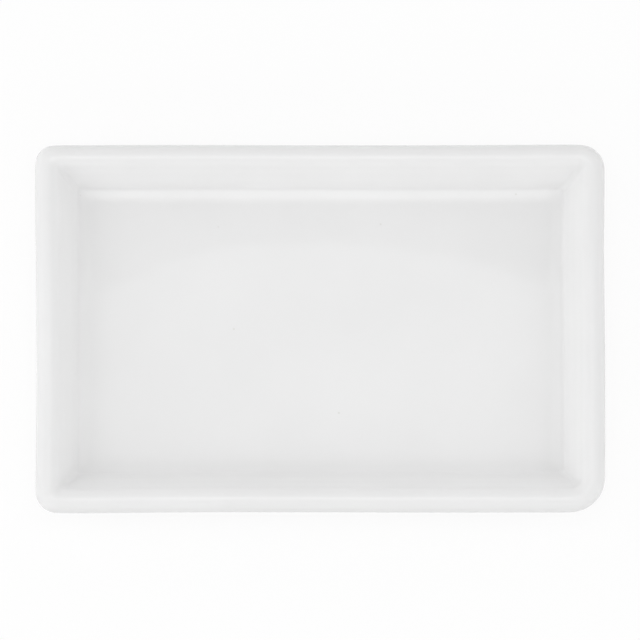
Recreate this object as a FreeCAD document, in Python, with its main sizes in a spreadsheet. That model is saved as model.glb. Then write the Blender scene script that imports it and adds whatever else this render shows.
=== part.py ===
import FreeCAD, Part
import math
import os

import Sketcher

doc = FreeCAD.newDocument("palette_tray")

# Driving sizes, in millimetres and degrees.
sizes = (
    ("tray_length", 228.6, "over the rim, left to right"),
    ("tray_depth", 150.0, "over the rim, front to back"),
    ("tray_height", 22.0, "table to rim crest"),
    ("rim_round", 5.0, "radius of the rolled rim"),
    ("rim_corner", 12.0, "plan radius of the outer corners"),
    ("wall_lean", 32.0, "inside wall, from upright"),
    ("skirt_lean", 24.0, "outside wall, from upright"),
    ("well_depth", 14.0, "rim crest down to the bed"),
    ("well_corner", 3.0, "plan radius of the bed corners"),
    ("cove_round", 2.6, "where the walls run into the bed"),
    ("base_round", 3.0, "bottom edge of the skirt"),
    ("core_lap", 1.0, "overlap of the core with the swept edge"),
    ("recess_inset", 31.0, "underside recess, in from the rim's outer edge"),
    ("recess_depth", 1.2, "underside recess, up from the dry foot band"),
    ("recess_corner", 8.0, "plan radius of the recess"),
    ("recess_round", 0.8, "top edge of the recess"),
    ("foot_inset", 20.0, "foot centres, in from the rim's outer edge"),
    ("foot_drop", 1.8, "how far the feet stand proud of the base"),
    ("foot_width", 10.0, "foot diameter in its seat"),
    ("foot_tip", 7.2, "flat that meets the table"),
    ("foot_collar", 0.9, "straight part of a foot, above its taper"),
    ("seat_depth", 0.8, "foot seats in the underside"),
    ("seat_gap", 0.25, "between a foot and the side of its seat"),
    ("film_thickness", 0.2, "adhesive disc"),
    ("film_margin", 0.4, "adhesive disc inside the edge of its foot"),
)

dims = doc.addObject("Spreadsheet::Sheet", "dims")
for row, (alias, value, note) in enumerate(sizes, start=1):
    dims.set(f"A{row}", alias)
    dims.set(f"B{row}", str(value))
    dims.setAlias(f"B{row}", alias)
    dims.set(f"C{row}", note)
doc.recompute()

# Worked sizes that several features share.
half_length = "dims.tray_length / 2"
half_depth = "dims.tray_depth / 2"
tangent_inset = "dims.rim_round * (1 + cos(dims.wall_lean * 1 deg))"
tangent_level = "(dims.tray_height - dims.rim_round * (1 - sin(dims.wall_lean * 1 deg)))"
bed_level = "(dims.tray_height - dims.well_depth)"
wall_run = f"({tangent_level} - {bed_level}) * tan(dims.wall_lean * 1 deg)"
foot_top = "(dims.foot_drop + dims.seat_depth - dims.film_thickness)"


def origin_plane(body, role):
    return next(item for item in body.Origin.OriginFeatures if item.Role == role)


def new_sketch(body, name, role, offset):
    sketch = body.newObject("Sketcher::SketchObject", name)
    sketch.AttachmentSupport = [(origin_plane(body, role), "")]
    sketch.MapMode = "FlatFace"
    sketch.setExpression("AttachmentOffset.Base.z", offset)
    return sketch


def add_size(sketch, name, expression, *constraint):
    index = sketch.addConstraint(Sketcher.Constraint(*constraint))
    sketch.renameConstraint(index, name)
    sketch.setExpression(f"Constraints.{name}", expression)


def draw_rounded_outline(sketch, length, depth, radius):
    # Straight runs are 0 to 3 from the right, arcs 4 to 7 from the back right.
    a, b, r = 100.0, 60.0, 5.0
    vector = FreeCAD.Vector
    runs = (
        (vector(a, r - b, 0), vector(a, b - r, 0)),
        (vector(a - r, b, 0), vector(r - a, b, 0)),
        (vector(-a, b - r, 0), vector(-a, r - b, 0)),
        (vector(r - a, -b, 0), vector(a - r, -b, 0)),
    )
    for start, end in runs:
        sketch.addGeometry(Part.LineSegment(start, end))
    centres = ((a - r, b - r), (r - a, b - r), (r - a, r - b), (a - r, r - b))
    for quarter, (x, y) in enumerate(centres):
        circle = Part.Circle(vector(x, y, 0), vector(0, 0, 1), r)
        start = quarter * math.pi / 2
        sketch.addGeometry(Part.ArcOfCircle(circle, start, start + math.pi / 2))
    for index in range(4):
        sketch.addConstraint(Sketcher.Constraint("Tangent", index, 2, 4 + index, 1))
        sketch.addConstraint(Sketcher.Constraint("Tangent", 4 + index, 2, (index + 1) % 4, 1))
        sketch.addConstraint(Sketcher.Constraint("Horizontal" if index % 2 else "Vertical", index))
    for index in (5, 6, 7):
        sketch.addConstraint(Sketcher.Constraint("Equal", 4, index))
    sketch.addConstraint(Sketcher.Constraint("Symmetric", 4, 3, 6, 3, -1, 1))
    add_size(sketch, "corner", radius, "Radius", 4, r)
    add_size(sketch, "across", length, "DistanceX", 2, 1, 0, 1, 2 * a)
    add_size(sketch, "along", depth, "DistanceY", 3, 1, 1, 1, 2 * b)


def flat_edges(shape, level):
    names = []
    for number, edge in enumerate(shape.Edges, start=1):
        box = edge.BoundBox
        if abs(box.ZMin - level) < 0.001 and abs(box.ZMax - level) < 0.001:
            names.append(f"Edge{number}")
    return names


# The tray is one fired piece.
tray = doc.addObject("PartDesign::Body", "glazed_tray")
tray.Label = "glazed_tray"

# Rim path, along the middle of the rolled rim.
rim_path = new_sketch(tray, "rim_path", "XY_Plane", "dims.tray_height - dims.rim_round")
draw_rounded_outline(
    rim_path,
    "dims.tray_length - 2 * dims.rim_round",
    "dims.tray_depth - 2 * dims.rim_round",
    "dims.rim_corner - dims.rim_round",
)

# Edge section: base, rounded foot, leaning skirt, rolled rim, then the cut at the rim's tangent.
edge_section = new_sketch(tray, "edge_section", "XZ_Plane", f"{half_depth} - dims.rim_corner")
v = FreeCAD.Vector
edge_section.addGeometry(Part.LineSegment(v(103.3, 1.8, 0), v(105.9, 1.8, 0)))
edge_section.addGeometry(Part.ArcOfCircle(Part.Circle(v(105.9, 4.8, 0), v(0, 0, 1), 3.0), -1.571, -0.419))
edge_section.addGeometry(Part.LineSegment(v(108.6, 3.6, 0), v(113.9, 15.0, 0)))
edge_section.addGeometry(Part.ArcOfCircle(Part.Circle(v(109.3, 17.0, 0), v(0, 0, 1), 5.0), -0.419, 2.583))
edge_section.addGeometry(Part.LineSegment(v(105.1, 19.6, 0), v(103.3, 19.6, 0)))
edge_section.addGeometry(Part.LineSegment(v(103.3, 19.6, 0), v(103.3, 1.8, 0)))
for joint in (("Tangent", 0, 2, 1, 1), ("Tangent", 1, 2, 2, 1), ("Tangent", 2, 2, 3, 1)):
    edge_section.addConstraint(Sketcher.Constraint(*joint))
for joint in ((3, 2, 4, 1), (4, 2, 5, 1), (5, 2, 0, 1)):
    edge_section.addConstraint(Sketcher.Constraint("Coincident", *joint))
edge_section.addConstraint(Sketcher.Constraint("Horizontal", 0))
edge_section.addConstraint(Sketcher.Constraint("Horizontal", 4))
edge_section.addConstraint(Sketcher.Constraint("Vertical", 5))
add_size(edge_section, "base_level", "dims.foot_drop", "DistanceY", -1, 1, 0, 1, 1.8)
add_size(edge_section, "foot_radius", "dims.base_round", "Radius", 1, 3.0)
add_size(edge_section, "lean", "90 deg - dims.skirt_lean * 1 deg", "Angle", 2, math.radians(66))
add_size(edge_section, "rim_radius", "dims.rim_round", "Radius", 3, 5.0)
add_size(edge_section, "rim_middle", f"{half_length} - dims.rim_round", "DistanceX", -1, 1, 3, 3, 109.3)
add_size(edge_section, "rim_level", "dims.tray_height - dims.rim_round", "DistanceY", -1, 1, 3, 3, 17.0)
add_size(edge_section, "cut_level", tangent_level, "DistanceY", -1, 1, 4, 1, 19.6)
add_size(
    edge_section, "inner_side", f"{half_length} - dims.rim_corner + dims.core_lap",
    "DistanceX", -1, 1, 5, 1, 103.3,
)
doc.recompute()

swept_edge = tray.newObject("PartDesign::AdditivePipe", "swept_edge")
swept_edge.Profile = edge_section
swept_edge.Spine = (rim_path, [f"Edge{n}" for n in range(1, 9)])
doc.recompute()

# Core slab that closes the middle, up to the same cut.
core_outline = new_sketch(tray, "core_outline", "XY_Plane", "dims.foot_drop")
draw_rounded_outline(
    core_outline,
    "dims.tray_length - 2 * dims.rim_corner + 4 * dims.core_lap",
    "dims.tray_depth - 2 * dims.rim_corner + 4 * dims.core_lap",
    "2 * dims.core_lap",
)
core = tray.newObject("PartDesign::Pad", "core")
core.Profile = core_outline
core.setExpression("Length", f"{tangent_level} - dims.foot_drop")
doc.recompute()

# Well, from the rim's tangent line down to the bed.
well_mouth = new_sketch(tray, "well_mouth", "XY_Plane", tangent_level)
draw_rounded_outline(
    well_mouth,
    f"dims.tray_length - 2 * {tangent_inset}",
    f"dims.tray_depth - 2 * {tangent_inset}",
    f"dims.rim_corner - {tangent_inset}",
)
well_bed = new_sketch(tray, "well_bed", "XY_Plane", bed_level)
draw_rounded_outline(
    well_bed,
    f"dims.tray_length - 2 * {tangent_inset} - 2 * {wall_run}",
    f"dims.tray_depth - 2 * {tangent_inset} - 2 * {wall_run}",
    "dims.well_corner",
)
doc.recompute()
well = tray.newObject("PartDesign::SubtractiveLoft", "well")
well.Profile = well_mouth
well.Sections = [well_bed]
well.Ruled = True
doc.recompute()

cove = tray.newObject("PartDesign::Fillet", "cove")
cove.Base = (well, flat_edges(well.Shape, dims.tray_height - dims.well_depth))
cove.setExpression("Radius", "dims.cove_round")
doc.recompute()

# Underside recess, which leaves a flat band for the feet.
recess_outline = new_sketch(tray, "recess_outline", "XY_Plane", "dims.foot_drop")
draw_rounded_outline(
    recess_outline,
    "dims.tray_length - 2 * dims.recess_inset",
    "dims.tray_depth - 2 * dims.recess_inset",
    "dims.recess_corner",
)
recess = tray.newObject("PartDesign::Pocket", "recess")
recess.Profile = recess_outline
recess.Reversed = True
recess.setExpression("Length", "dims.recess_depth")
doc.recompute()

recess_edge = tray.newObject("PartDesign::Fillet", "recess_edge")
recess_edge.Base = (recess, flat_edges(recess.Shape, dims.foot_drop + dims.recess_depth))
recess_edge.setExpression("Radius", "dims.recess_round")
doc.recompute()

# Four round seats for the feet.
seat_outline = new_sketch(tray, "seat_outline", "XY_Plane", "dims.foot_drop")
corners = (("back_right", 1, 1), ("back_left", -1, 1), ("front_left", -1, -1), ("front_right", 1, -1))
for index, (place, right, back) in enumerate(corners):
    centre = v(94.3 * right, 55.0 * back, 0)
    seat_outline.addGeometry(Part.Circle(centre, v(0, 0, 1), 5.25))
    if index:
        seat_outline.addConstraint(Sketcher.Constraint("Equal", 0, index))
add_size(seat_outline, "seat_radius", "dims.foot_width / 2 + dims.seat_gap", "Radius", 0, 5.25)
add_size(seat_outline, "seat_x", f"{half_length} - dims.foot_inset", "DistanceX", -1, 1, 0, 3, 94.3)
add_size(seat_outline, "seat_y", f"{half_depth} - dims.foot_inset", "DistanceY", -1, 1, 0, 3, 55.0)
seat_outline.addConstraint(Sketcher.Constraint("Symmetric", 0, 3, 1, 3, -2))
seat_outline.addConstraint(Sketcher.Constraint("Symmetric", 0, 3, 2, 3, -1, 1))
seat_outline.addConstraint(Sketcher.Constraint("Symmetric", 0, 3, 3, 3, -1))
foot_seats = tray.newObject("PartDesign::Pocket", "foot_seats")
foot_seats.Profile = seat_outline
foot_seats.Reversed = True
foot_seats.setExpression("Length", "dims.seat_depth")
doc.recompute()

nodes = [tray]


def build_foot(place, right, back):
    # A bumper foot: straight collar up in the seat, tapered side, flat tip on the table.
    foot = doc.addObject("PartDesign::Body", f"foot_{place}")
    foot.Label = f"foot_{place}"
    side = new_sketch(foot, f"foot_side_{place}", "XZ_Plane", "0")
    profile = (v(0, 2.4, 0), v(5, 2.4, 0), v(5, 1.5, 0), v(3.6, 0, 0), v(0, 0, 0))
    for index, start in enumerate(profile):
        side.addGeometry(Part.LineSegment(start, profile[(index + 1) % 5]))
    for index in range(5):
        side.addConstraint(Sketcher.Constraint("Coincident", index, 2, (index + 1) % 5, 1))
    side.addConstraint(Sketcher.Constraint("Coincident", 3, 2, -1, 1))
    for line in (0, 3):
        side.addConstraint(Sketcher.Constraint("Horizontal", line))
    for line in (1, 4):
        side.addConstraint(Sketcher.Constraint("Vertical", line))
    add_size(side, "half_width", "dims.foot_width / 2", "DistanceX", 0, 1, 0, 2, 5.0)
    add_size(side, "tall", foot_top, "DistanceY", 4, 1, 4, 2, 2.4)
    add_size(side, "collar", "dims.foot_collar", "DistanceY", 1, 2, 1, 1, 0.9)
    add_size(side, "half_tip", "dims.foot_tip / 2", "DistanceX", 3, 2, 3, 1, 3.6)
    turned = foot.newObject("PartDesign::Revolution", f"foot_turned_{place}")
    turned.Profile = side
    turned.ReferenceAxis = (side, ["V_Axis"])
    turned.Angle = 360.0
    foot.setExpression("Placement.Base.x", f"{right} * ({half_length} - dims.foot_inset)")
    foot.setExpression("Placement.Base.y", f"{back} * ({half_depth} - dims.foot_inset)")
    return foot


def build_film(place, right, back):
    # The pressure-sensitive disc that holds a foot up in its seat.
    film = doc.addObject("Part::Cylinder", f"adhesive_{place}")
    film.Label = f"adhesive_{place}"
    film.setExpression("Radius", "dims.foot_width / 2 - dims.film_margin")
    film.setExpression("Height", "dims.film_thickness")
    film.setExpression("Placement.Base.x", f"{right} * ({half_length} - dims.foot_inset)")
    film.setExpression("Placement.Base.y", f"{back} * ({half_depth} - dims.foot_inset)")
    film.setExpression("Placement.Base.z", foot_top)
    return film


for place, right, back in corners:
    nodes.append(build_foot(place, right, back))
    nodes.append(build_film(place, right, back))
doc.recompute()

# Every feature is sound before anything is written.
for item in doc.Objects:
    faults = [state for state in item.State if state in ("Invalid", "Error")]
    if faults:
        raise RuntimeError(f"{item.Label}: {faults}")

os.makedirs("parts", exist_ok=True)
for node in nodes:
    if node.Shape.isNull() or not node.Shape.isValid():
        raise RuntimeError(f"{node.Label}: shape is not sound")
    node.Shape.exportStep(f"parts/{node.Label}.step")
    print(node.Label, len(node.Shape.Solids), round(node.Shape.Volume, 1))
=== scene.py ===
import bpy
import bmesh
import math
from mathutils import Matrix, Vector


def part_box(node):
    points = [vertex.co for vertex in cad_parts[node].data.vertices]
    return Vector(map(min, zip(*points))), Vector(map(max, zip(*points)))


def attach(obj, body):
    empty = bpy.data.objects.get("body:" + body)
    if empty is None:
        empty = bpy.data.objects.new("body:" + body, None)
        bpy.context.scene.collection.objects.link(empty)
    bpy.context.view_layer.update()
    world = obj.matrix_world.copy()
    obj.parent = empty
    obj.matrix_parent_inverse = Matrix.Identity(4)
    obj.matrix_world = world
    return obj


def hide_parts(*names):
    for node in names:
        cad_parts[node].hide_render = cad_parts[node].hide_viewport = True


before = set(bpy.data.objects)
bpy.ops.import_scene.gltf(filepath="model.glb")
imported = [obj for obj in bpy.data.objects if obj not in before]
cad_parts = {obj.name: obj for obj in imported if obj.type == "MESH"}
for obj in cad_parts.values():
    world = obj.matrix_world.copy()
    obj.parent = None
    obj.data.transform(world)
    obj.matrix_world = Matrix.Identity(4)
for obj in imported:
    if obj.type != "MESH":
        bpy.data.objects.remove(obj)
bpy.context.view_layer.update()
mm = 0.001
scene = bpy.context.scene
scene.view_settings.view_transform = "Standard"
print("frame loaded:", len(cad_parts), "nodes")


def hexToLinear(code):
    channels = [int(code[i:i + 2], 16) / 255 for i in (1, 3, 5)]
    return [c / 12.92 if c <= 0.04045 else ((c + 0.055) / 1.055) ** 2.4 for c in channels] + [1.0]


# Settings and links go to sockets by name or number, and other settings to the node itself.
def addNode(tree, kind, settings=None, links=None):
    node = tree.nodes.new(kind)
    for name, value in (settings or {}).items():
        if isinstance(name, int) or name in node.inputs:
            node.inputs[name].default_value = value
        else:
            setattr(node, name, value)
    for socket, source in (links or {}).items():
        tree.links.new(source, node.inputs[socket])
    return node


def newMaterial(name):
    material = bpy.data.materials.new(name)
    material.use_nodes = True
    material.node_tree.nodes.clear()
    return material, material.node_tree


# Glazed porcelain, dipped and fired: bright white, a wet-looking coat with slow ripples,
# a faint orange peel, small drifts of tone where the glaze lies thicker, and a few pinholes.
glaze = {
    "thin": "#f2f2f2", "thick": "#f0f0f0", "driftSize": 45 * mm, "driftLow": 0.35, "driftHigh": 0.65,
    "rippleSize": 30 * mm, "rippleDepth": 0.04 * mm,
    "peelSize": 3.2 * mm, "peelDepth": 0.0005 * mm,
    "pinholeSpacing": 21 * mm, "pinholeSize": 0.45 * mm, "pinholeColour": "#e8e8e6",
    "roughness": 0.015, "ior": 1.52, "glow": 0.3, "glowDepth": 4 * mm,
}


def makeGlaze():
    material, tree = newMaterial("glazed_porcelain")
    place = addNode(tree, "ShaderNodeTexCoord").outputs["Object"]
    drift = addNode(tree, "ShaderNodeTexNoise", {"Scale": 1 / glaze["driftSize"], "Detail": 2.0},
                    {"Vector": place})
    tone = addNode(tree, "ShaderNodeValToRGB", None, {"Fac": drift.outputs["Fac"]})
    thick, thin = tone.color_ramp.elements
    thick.position, thin.position = glaze["driftLow"], glaze["driftHigh"]
    thick.color, thin.color = hexToLinear(glaze["thick"]), hexToLinear(glaze["thin"])
    cells = addNode(tree, "ShaderNodeTexVoronoi", {"feature": "F1", "Scale": 1 / glaze["pinholeSpacing"]},
                    {"Vector": place})
    pinholeShare = glaze["pinholeSize"] / glaze["pinholeSpacing"]
    dot = addNode(tree, "ShaderNodeMath", {"operation": "LESS_THAN", 1: pinholeShare},
                  {0: cells.outputs["Distance"]})
    colour = addNode(tree, "ShaderNodeMix", {"data_type": "RGBA", 7: hexToLinear(glaze["pinholeColour"])},
                     {0: dot.outputs[0], 6: tone.outputs["Color"]})
    ripple = addNode(tree, "ShaderNodeTexNoise", {"Scale": 1 / glaze["rippleSize"], "Detail": 1.0},
                     {"Vector": place})
    peel = addNode(tree, "ShaderNodeTexNoise", {"Scale": 1 / glaze["peelSize"], "Detail": 2.0},
                   {"Vector": place})
    slow = addNode(tree, "ShaderNodeBump", {"Strength": 1.0, "Distance": glaze["rippleDepth"]},
                   {"Height": ripple.outputs["Fac"]})
    fine = addNode(tree, "ShaderNodeBump", {"Strength": 1.0, "Distance": glaze["peelDepth"]},
                   {"Height": peel.outputs["Fac"], "Normal": slow.outputs["Normal"]})
    coat = {"Roughness": glaze["roughness"], "IOR": glaze["ior"], "Subsurface Weight": glaze["glow"],
            "Subsurface Radius": (1.0, 1.0, 1.0), "Subsurface Scale": glaze["glowDepth"]}
    shader = addNode(tree, "ShaderNodeBsdfPrincipled", coat,
                     {"Base Color": colour.outputs[2], "Normal": fine.outputs["Normal"]})
    addNode(tree, "ShaderNodeOutputMaterial", None, {"Surface": shader.outputs["BSDF"]})
    return material


# Bisque porcelain, wiped clean of glaze before firing: chalky, slightly warm, fine gritty tooth.
bisque = {
    "pale": "#e9e6df", "dull": "#dcd8cf", "mottleSize": 9 * mm,
    "gritSize": 0.9 * mm, "gritDepth": 0.03 * mm, "roughness": 0.78, "ior": 1.5,
}


def makeBisque():
    material, tree = newMaterial("bisque_porcelain")
    place = addNode(tree, "ShaderNodeTexCoord").outputs["Object"]
    mottle = addNode(tree, "ShaderNodeTexNoise", {"Scale": 1 / bisque["mottleSize"], "Detail": 4.0},
                     {"Vector": place})
    tone = addNode(tree, "ShaderNodeValToRGB", None, {"Fac": mottle.outputs["Fac"]})
    dull, pale = tone.color_ramp.elements
    dull.color, pale.color = hexToLinear(bisque["dull"]), hexToLinear(bisque["pale"])
    grit = addNode(tree, "ShaderNodeTexNoise", {"Scale": 1 / bisque["gritSize"], "Detail": 3.0},
                   {"Vector": place})
    tooth = addNode(tree, "ShaderNodeBump", {"Strength": 1.0, "Distance": bisque["gritDepth"]},
                    {"Height": grit.outputs["Fac"]})
    shader = addNode(tree, "ShaderNodeBsdfPrincipled",
                     {"Roughness": bisque["roughness"], "IOR": bisque["ior"]},
                     {"Base Color": tone.outputs["Color"], "Normal": tooth.outputs["Normal"]})
    addNode(tree, "ShaderNodeOutputMaterial", None, {"Surface": shader.outputs["BSDF"]})
    return material


# Silicone rubber, moulded: milky, soft satin, a fine matt skin that picks up dust.
silicone = {
    "milky": "#d8d8d3", "dusty": "#c6c5bf", "dustSize": 2.5 * mm,
    "skinSize": 0.5 * mm, "skinDepth": 0.01 * mm, "roughness": 0.48, "ior": 1.41,
}


def makeSilicone():
    material, tree = newMaterial("silicone_rubber")
    place = addNode(tree, "ShaderNodeTexCoord").outputs["Object"]
    dust = addNode(tree, "ShaderNodeTexNoise", {"Scale": 1 / silicone["dustSize"], "Detail": 3.0},
                   {"Vector": place})
    tone = addNode(tree, "ShaderNodeValToRGB", None, {"Fac": dust.outputs["Fac"]})
    dusty, milky = tone.color_ramp.elements
    dusty.color, milky.color = hexToLinear(silicone["dusty"]), hexToLinear(silicone["milky"])
    skin = addNode(tree, "ShaderNodeTexNoise", {"Scale": 1 / silicone["skinSize"], "Detail": 2.0},
                   {"Vector": place})
    matt = addNode(tree, "ShaderNodeBump", {"Strength": 1.0, "Distance": silicone["skinDepth"]},
                   {"Height": skin.outputs["Fac"]})
    shader = addNode(tree, "ShaderNodeBsdfPrincipled",
                     {"Roughness": silicone["roughness"], "IOR": silicone["ior"]},
                     {"Base Color": tone.outputs["Color"], "Normal": matt.outputs["Normal"]})
    addNode(tree, "ShaderNodeOutputMaterial", None, {"Surface": shader.outputs["BSDF"]})
    return material


# Acrylic adhesive, die-cut from a coated sheet: amber tint, tacky and slightly uneven.
adhesive = {"clear": "#e2dfd2", "cloudy": "#d3cfbf", "cloudSize": 1.8 * mm, "roughness": 0.3, "ior": 1.47}


def makeAdhesive():
    material, tree = newMaterial("acrylic_adhesive")
    place = addNode(tree, "ShaderNodeTexCoord").outputs["Object"]
    cloud = addNode(tree, "ShaderNodeTexNoise", {"Scale": 1 / adhesive["cloudSize"], "Detail": 2.0},
                    {"Vector": place})
    tone = addNode(tree, "ShaderNodeValToRGB", None, {"Fac": cloud.outputs["Fac"]})
    cloudy, clear = tone.color_ramp.elements
    cloudy.color, clear.color = hexToLinear(adhesive["cloudy"]), hexToLinear(adhesive["clear"])
    shader = addNode(tree, "ShaderNodeBsdfPrincipled",
                     {"Roughness": adhesive["roughness"], "IOR": adhesive["ior"]},
                     {"Base Color": tone.outputs["Color"]})
    addNode(tree, "ShaderNodeOutputMaterial", None, {"Surface": shader.outputs["BSDF"]})
    return material


# The tray, in millimetres. Corners are back right, back left, front left, front right,
# as the potter's hand left them, and the well sits a little towards the back.
tray = {
    "length": 228.2, "depth": 149.2, "rimMiddle": 17.0, "rimRound": 5.0,
    "wallLean": 34.0, "skirtLean": 24.0, "base": 1.8, "baseRound": 3.0,
    "bed": 8.0, "bedShift": 0.9, "coveTop": 16.4, "coveSteps": 5, "coveStart": 0.3,
    "softRise": ((27.0, 0.0), (22.6, 0.002), (21.6, 0.03), (20.4, 0.12), (19.2, 0.25), (18.0, 0.38)),
    "wallWave": 0.08,                                          # ridges: share of the wall, share of the wave
    "wallRidges": ((0.16, 0.0), (0.32, 0.8), (0.48, -0.5), (0.66, 0.7), (0.84, -1.3)),
    "recessInset": 31.0, "recessTop": 3.0, "recessRound": 0.8, "recessCorner": 8.0,
    "corners": (10.0, 7.6, 9.0, 14.0), "creaseRound": 2.2, "skirtRound": 4.5, "cornerSteps": 6,
    "cutsAlong": 11, "cutsAcross": 7, "smoothing": 2, "sharpTurn": 40.0,
    "seatRadius": 5.25, "seatDepth": 0.8, "seatSides": 64, "cutterDepth": 4.0,
    "pullGrip": 12.0,
    "pulls": (                                                 # place on the rim, push, reach
        {"at": (-114.0, -14.0), "push": (0.7, 0.0), "reach": 80.0},
        {"at": (-94.0, -74.6), "push": (0.0, -0.5), "reach": 60.0},
        {"at": (108.0, 74.0), "push": (0.0, 0.3), "reach": 40.0},
        {"at": (114.0, 30.0), "push": (-0.4, 0.0), "reach": 28.0},
    ),
}


# Points of inset and height, walked from the bed up the wall, over the rim and down to the underside.
def traySection():
    lean, skirt = math.radians(tray["wallLean"]), math.radians(tray["skirtLean"])
    bed, base = tray["bed"], tray["base"]
    rim, rimZ = tray["rimRound"], tray["rimMiddle"]
    tangentInset, tangentZ = rim * (1 + math.cos(lean)), rimZ + rim * math.sin(lean)
    footInset = tangentInset + (tangentZ - bed) * math.tan(lean)
    section = [(inset, bed + rise) for inset, rise in tray["softRise"]]

    footX, footZ = section[-1]                                 # cove, bed to wall
    run = footX - tray["coveTop"]
    climb = (footInset - tray["coveTop"]) / math.tan(lean) - (footZ - bed)
    start = tray["coveStart"]
    for count in range(1, tray["coveSteps"] + 1):
        step = count / tray["coveSteps"]
        section.append((footX - run * step, footZ + climb * (start * step + (1 - start) * step ** 3)))

    lowX, lowZ = section[-1]                                   # wall, faintly ridged
    for step, wave in tray["wallRidges"]:
        ridge = wave * tray["wallWave"]
        section.append((lowX + (tangentInset - lowX) * step + ridge * math.cos(lean),
                        lowZ + (tangentZ - lowZ) * step + ridge * math.sin(lean)))

    rimTurns = (180 - tray["wallLean"], 134, 120, 105, 90, 75, 60, 45, 30, 15, 0, -12, -tray["skirtLean"])
    for degrees in rimTurns:                                   # rolled rim
        turn = math.radians(degrees)
        section.append((rim - rim * math.cos(turn), rimZ + rim * math.sin(turn)))

    topX, topZ = section[-1]                                   # skirt, straight down to its rounded foot
    foot = tray["baseRound"]
    footRun = foot * math.tan((math.pi / 2 - skirt) / 2)
    skirtInset = topX + (topZ - base) * math.tan(skirt)
    lowX, lowZ = skirtInset - footRun * math.sin(skirt), base + footRun * math.cos(skirt)
    for step in (0.33, 0.66):
        section.append((topX + (lowX - topX) * step, topZ + (lowZ - topZ) * step))
    footSteps = 4
    for step in range(footSteps + 1):
        turn = skirt + (math.pi / 2 - skirt) * step / footSteps
        section.append((skirtInset + footRun - foot * math.cos(turn), base + foot * (1 - math.sin(turn))))

    bandEdge, recess = section[-1][0], tray["recessInset"]     # dry band, a little dished
    for inset, rise in ((bandEdge + 0.6, 0.01), (bandEdge + 9, 0.02), (recess - 1.2, 0.03),
                        (recess - 0.25, 0.05), (recess, 0.2)):
        section.append((inset, base + rise))

    edge, recessTop = tray["recessRound"], tray["recessTop"]   # recess, up from the dry band
    for degrees in (0, 30, 60, 90):
        turn = math.radians(degrees)
        section.append((recess + edge - edge * math.cos(turn), recessTop - edge + edge * math.sin(turn)))
    section.append((recess + 6, recessTop + 0.02))
    return section


def selectVerts(mesh, test):
    bm = bmesh.from_edit_mesh(mesh)
    bm.select_mode = {"VERT"}
    ring = bm.verts.layers.int["ring"]
    for vert in bm.verts:
        vert.select = bool(test(vert.co, vert[ring]))
    bm.select_flush_mode()
    bmesh.update_edit_mesh(mesh)


# A new vert carries ring 0 until its ring is whole, then the ring's own number.
def addRing(mesh, number, inset, z, radii, shift):
    halfLength, halfDepth = tray["length"] / 2 - inset, tray["depth"] / 2 - inset
    middle = Vector((0, shift, z)) * mm
    bpy.ops.mesh.select_all(action="DESELECT")
    bpy.ops.mesh.primitive_plane_add(size=1, location=middle)
    bpy.ops.transform.resize(value=(2 * halfLength * mm, 2 * halfDepth * mm, 1), center_override=middle)
    for (right, back), radius in zip(((1, 1), (-1, 1), (-1, -1), (1, -1)), radii):
        corner = middle + Vector((right * halfLength, back * halfDepth, 0)) * mm
        selectVerts(mesh, lambda co, ring: ring == 0 and (co - corner).length < 0.001 * mm)
        bpy.ops.mesh.bevel(offset=radius * mm, offset_type="OFFSET", segments=tray["cornerSteps"],
                           profile=0.5, affect="VERTICES", clamp_overlap=False)
    selectVerts(mesh, lambda co, ring: ring == 0)
    bpy.ops.mesh.delete(type="ONLY_FACE")
    bm = bmesh.from_edit_mesh(mesh)
    layer = bm.verts.layers.int["ring"]
    for vert in bm.verts:
        if vert[layer] == 0:
            vert[layer] = number
    bmesh.update_edit_mesh(mesh)


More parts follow.
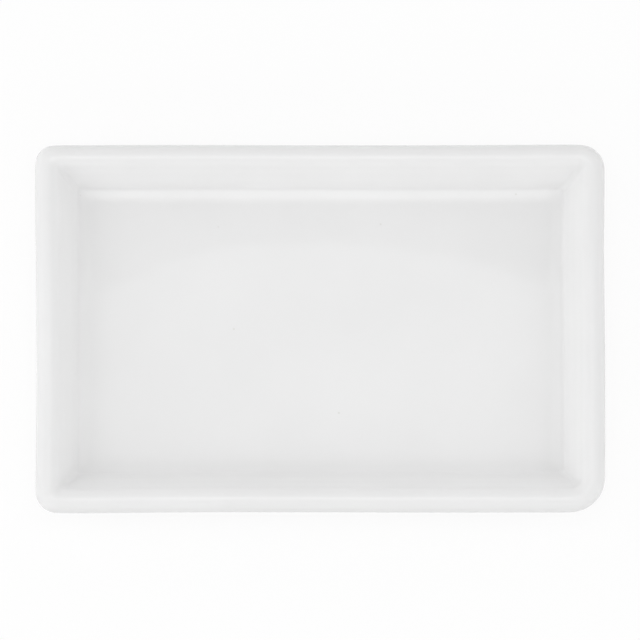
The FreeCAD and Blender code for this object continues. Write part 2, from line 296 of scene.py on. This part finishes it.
def makeTray():
    bpy.ops.object.select_all(action="DESELECT")
    bpy.ops.mesh.primitive_plane_add(size=1)
    piece = bpy.context.object
    piece.name = "porcelain_tray"
    mesh = piece.data
    bpy.ops.object.mode_set(mode="EDIT")
    bpy.ops.mesh.select_mode(type="VERT")
    bpy.ops.mesh.delete(type="VERT")
    bmesh.from_edit_mesh(mesh).verts.layers.int.new("ring")

    section = traySection()
    widest = section.index(min(section))
    rimTop = tray["rimMiddle"] + tray["rimRound"]
    for index, (inset, z) in enumerate(section):
        inside = index < widest
        if inset >= tray["recessInset"] - 2:
            radii = [tray["recessCorner"]] * 4
        else:
            tighten, least = (1.0, tray["creaseRound"]) if inside else (0.5, tray["skirtRound"])
            radii = [max(radius - tighten * inset, least) for radius in tray["corners"]]
        shift = tray["bedShift"] * max(0, (rimTop - z) / (rimTop - tray["bed"])) if inside else 0
        addRing(mesh, index + 1, inset, z, radii, shift)
    print("tray rings:", len(section), "verts:", len(bmesh.from_edit_mesh(mesh).verts),
          "expected:", 4 * (tray["cornerSteps"] + 1) * len(section))

    for number in range(1, len(section)):
        selectVerts(mesh, lambda co, ring: number <= ring <= number + 1)
        bpy.ops.mesh.bridge_edge_loops()
    for number in (1, len(section)):                           # bed and underside
        selectVerts(mesh, lambda co, ring: ring == number)
        bpy.ops.mesh.edge_face_add()

    for axis, side, cuts in ((0, "length", "cutsAlong"), (1, "depth", "cutsAcross")):
        for cut in range(tray[cuts]):
            where, normal = [0, 0, 0], [0, 0, 0]
            where[axis] = (-1 + 2 * (cut + 1) / (tray[cuts] + 1)) * tray[side] / 2 * mm
            normal[axis] = 1
            bpy.ops.mesh.select_all(action="SELECT")
            bpy.ops.mesh.bisect(plane_co=where, plane_no=normal)

    for pull in tray["pulls"]:
        place, push = Vector(pull["at"]) * mm, Vector((*pull["push"], 0)) * mm
        selectVerts(mesh, lambda co, ring: (co.xy - place).length < tray["pullGrip"] * mm)
        bpy.ops.transform.translate(value=push, use_proportional_edit=True,
                                    proportional_edit_falloff="SMOOTH", proportional_size=pull["reach"] * mm)
    bpy.ops.mesh.select_all(action="SELECT")
    bpy.ops.mesh.normals_make_consistent(inside=False)
    bpy.ops.object.mode_set(mode="OBJECT")
    return piece


def selectOnly(piece):
    bpy.ops.object.select_all(action="DESELECT")
    bpy.context.view_layer.objects.active = piece
    piece.select_set(True)


# Slow hand-made unevenness: the rim wanders a little in plan and the glaze lies in soft swells.
handWork = {"wanderSize": 90 * mm, "wander": 0.35 * mm, "swellSize": 38 * mm, "swell": 0.04 * mm}


def unevenTray(piece):
    selectOnly(piece)
    smooth = piece.modifiers.new("smooth", "SUBSURF")
    smooth.levels = smooth.render_levels = tray["smoothing"]
    bpy.ops.object.modifier_apply(modifier="smooth")
    for name, size, depth, direction in (("wanderX", "wanderSize", "wander", "X"),
                                         ("wanderY", "wanderSize", "wander", "Y"),
                                         ("swell", "swellSize", "swell", "Z")):
        clouds = bpy.data.textures.new(name, "CLOUDS")
        clouds.noise_scale = handWork[size]
        clouds.noise_depth = 0
        move = piece.modifiers.new(name, "DISPLACE")
        move.texture = clouds
        move.texture_coords = "LOCAL"
        move.direction = direction
        move.strength = handWork[depth]
        move.mid_level = 0.5
        bpy.ops.object.modifier_apply(modifier=name)


def cutFootSeats(piece):
    bpy.ops.object.select_all(action="DESELECT")
    cutterZ = (tray["base"] + tray["seatDepth"] - tray["cutterDepth"] / 2) * mm
    cutters = []
    for name in ("foot_front_left", "foot_front_right", "foot_back_left", "foot_back_right"):
        low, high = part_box(name)
        middle = (low + high) / 2
        bpy.ops.mesh.primitive_cylinder_add(vertices=tray["seatSides"], radius=tray["seatRadius"] * mm,
                                            depth=tray["cutterDepth"] * mm,
                                            location=(middle.x, middle.y, cutterZ))
        cutters.append(bpy.context.object)
    for cutter in cutters:
        cutter.select_set(True)
    bpy.ops.object.join()
    cutter = bpy.context.object
    bpy.ops.object.transform_apply(location=True, rotation=True, scale=True)
    selectOnly(piece)
    seats = piece.modifiers.new("seats", "BOOLEAN")
    seats.operation = "DIFFERENCE"
    seats.object = cutter
    bpy.ops.object.modifier_apply(modifier="seats")
    bpy.data.objects.remove(cutter)
    bpy.ops.object.shade_smooth_by_angle(angle=math.radians(tray["sharpTurn"]))


porcelainTray = makeTray()
print("tray faces before smoothing:", len(porcelainTray.data.polygons))
unevenTray(porcelainTray)
cutFootSeats(porcelainTray)
porcelainTray.data.materials.append(makeGlaze())
porcelainTray.data.materials.append(makeBisque())
dryHeight = (tray["base"] + tray["seatDepth"] + 0.1) * mm      # the band and the seats, below the recess
for face in porcelainTray.data.polygons:
    face.material_index = 1 if face.normal.z < -0.7 and face.center.z < dryHeight else 0
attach(porcelainTray, "root")
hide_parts("glazed_tray")
print("tray faces:", len(porcelainTray.data.polygons))

finishes = {"foot": makeSilicone(), "adhesive": makeAdhesive()}
for name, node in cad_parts.items():
    finish = finishes.get(name.split("_")[0])
    for slot in node.material_slots if finish else ():
        slot.material = finish
print("feet and adhesive finished")

# Studio: pale sweep in a white tent, soft panels on all sides and above, and a round overhead panel
# with a bright middle, whose edge shows as an arch on the bed. The other panels only fill;
# what the glaze mirrors is the tent. Sizes are in metres.
studio = {
    "frameWidth": 0.2559, "lens": 1500.0, "sensor": 36.0, "elevation": 79.0,
    "lookAt": (0.0, 0.00344, 0.01767), "worldFill": 0.18, "worldSeen": 1.0,
    "floorSize": 3.0, "floorWhite": 0.87, "floorPaper": "#dcdcdc", "floorPage": "#ffffff",
    "lamps": (
        {"name": "leftPanel", "shape": "RECTANGLE", "place": (-1.0, 0.0, 0.42), "size": (1.4, 0.7),
         "power": 5.7, "mirrored": False},
        {"name": "frontPanel", "shape": "RECTANGLE", "place": (0.0, -1.0, 0.42), "size": (1.4, 0.7),
         "power": 4.4, "mirrored": False},
        {"name": "rightPanel", "shape": "RECTANGLE", "place": (1.0, 0.0, 0.42), "size": (1.4, 0.7),
         "power": 4.2, "mirrored": False},
        {"name": "backPanel", "shape": "RECTANGLE", "place": (0.0, 1.0, 0.42), "size": (1.4, 0.7),
         "power": 3.0, "mirrored": False},
        {"name": "ceiling", "shape": "DISK", "place": (0.0, 0.0, 1.2), "size": (1.6, 1.6),
         "power": 5.25, "mirrored": False},
        {"name": "overhead", "shape": "DISK", "place": (0.0, -0.022, 0.8), "size": (0.434, 0.434),
         "power": 0.27, "mirrored": True},
        {"name": "overheadMiddle", "shape": "ELLIPSE", "place": (0.0, 0.0, 0.79), "size": (0.28, 0.17),
         "power": 0.115, "mirrored": True},
    ),
}
pureWhite = (1, 1, 1, 1)


# 1 for a ray that shows the backdrop to the eye, straight or by gloss or glass, and 0 for one that lights.
def seenRay(tree):
    rays = addNode(tree, "ShaderNodeLightPath").outputs
    seen = addNode(tree, "ShaderNodeMath", {"operation": "MAXIMUM"},
                   {0: rays["Is Camera Ray"], 1: rays["Is Transmission Ray"]})
    seen = addNode(tree, "ShaderNodeMath", {"operation": "MAXIMUM"},
                   {0: seen.outputs[0], 1: rays["Is Glossy Ray"]})
    return seen.outputs[0]


def makeFloor():
    bpy.ops.object.select_all(action="DESELECT")
    bpy.ops.mesh.primitive_plane_add(size=studio["floorSize"])
    floor = bpy.context.object
    floor.name = "floor"
    material, tree = newMaterial("floor_paper")
    paper = addNode(tree, "ShaderNodeBsdfDiffuse", {"Color": hexToLinear(studio["floorPaper"])})
    page = addNode(tree, "ShaderNodeBsdfDiffuse", {"Color": hexToLinear(studio["floorPage"])})
    white = addNode(tree, "ShaderNodeEmission", {"Color": pureWhite, "Strength": 1.0})
    clear = addNode(tree, "ShaderNodeBsdfTransparent")
    under = addNode(tree, "ShaderNodeNewGeometry").outputs["Backfacing"]
    lit = addNode(tree, "ShaderNodeMixShader", {0: studio["floorWhite"]},
                  {1: page.outputs[0], 2: white.outputs[0]})
    both = addNode(tree, "ShaderNodeMixShader", None,
                   {0: seenRay(tree), 1: paper.outputs[0], 2: lit.outputs[0]})
    side = addNode(tree, "ShaderNodeMixShader", None,
                   {0: under, 1: both.outputs[0], 2: clear.outputs[0]})  # clear from below
    addNode(tree, "ShaderNodeOutputMaterial", None, {"Surface": side.outputs[0]})
    floor.data.materials.append(material)


def makeTent():
    world = bpy.data.worlds.new("studio")
    scene.world = world
    world.use_nodes = True
    tree = world.node_tree
    tree.nodes.clear()
    fill = addNode(tree, "ShaderNodeBackground", {"Color": pureWhite, "Strength": studio["worldFill"]})
    plain = addNode(tree, "ShaderNodeBackground", {"Color": pureWhite, "Strength": studio["worldSeen"]})
    both = addNode(tree, "ShaderNodeMixShader", None,
                   {0: seenRay(tree), 1: fill.outputs[0], 2: plain.outputs[0]})
    addNode(tree, "ShaderNodeOutputWorld", None, {"Surface": both.outputs[0]})


def makeLamps():
    for settings in studio["lamps"]:
        light = bpy.data.lights.new(settings["name"], "AREA")
        light.shape = settings["shape"]
        light.size, light.size_y = settings["size"]
        light.energy = settings["power"]
        lamp = bpy.data.objects.new(settings["name"], light)
        lamp.location = settings["place"]
        lamp.rotation_euler = (-Vector(settings["place"])).to_track_quat("-Z", "Y").to_euler()
        lamp.visible_glossy = settings["mirrored"]
        scene.collection.objects.link(lamp)


# A long lens far away: the photograph's sides run parallel.
def makeCamera():
    camera = bpy.data.cameras.new("camera")
    camera.lens = studio["lens"]
    camera.sensor_width = studio["sensor"]
    distance = studio["frameWidth"] * studio["lens"] / studio["sensor"]
    camera.clip_end = distance + 10
    eye = bpy.data.objects.new("camera", camera)
    tilt = math.radians(studio["elevation"])
    eye.location = Vector(studio["lookAt"]) + distance * Vector((0, -math.cos(tilt), math.sin(tilt)))
    eye.rotation_euler = (math.pi / 2 - tilt, 0, 0)
    scene.collection.objects.link(eye)
    scene.camera = eye


makeFloor()
makeTent()
makeLamps()
makeCamera()
print("studio set")
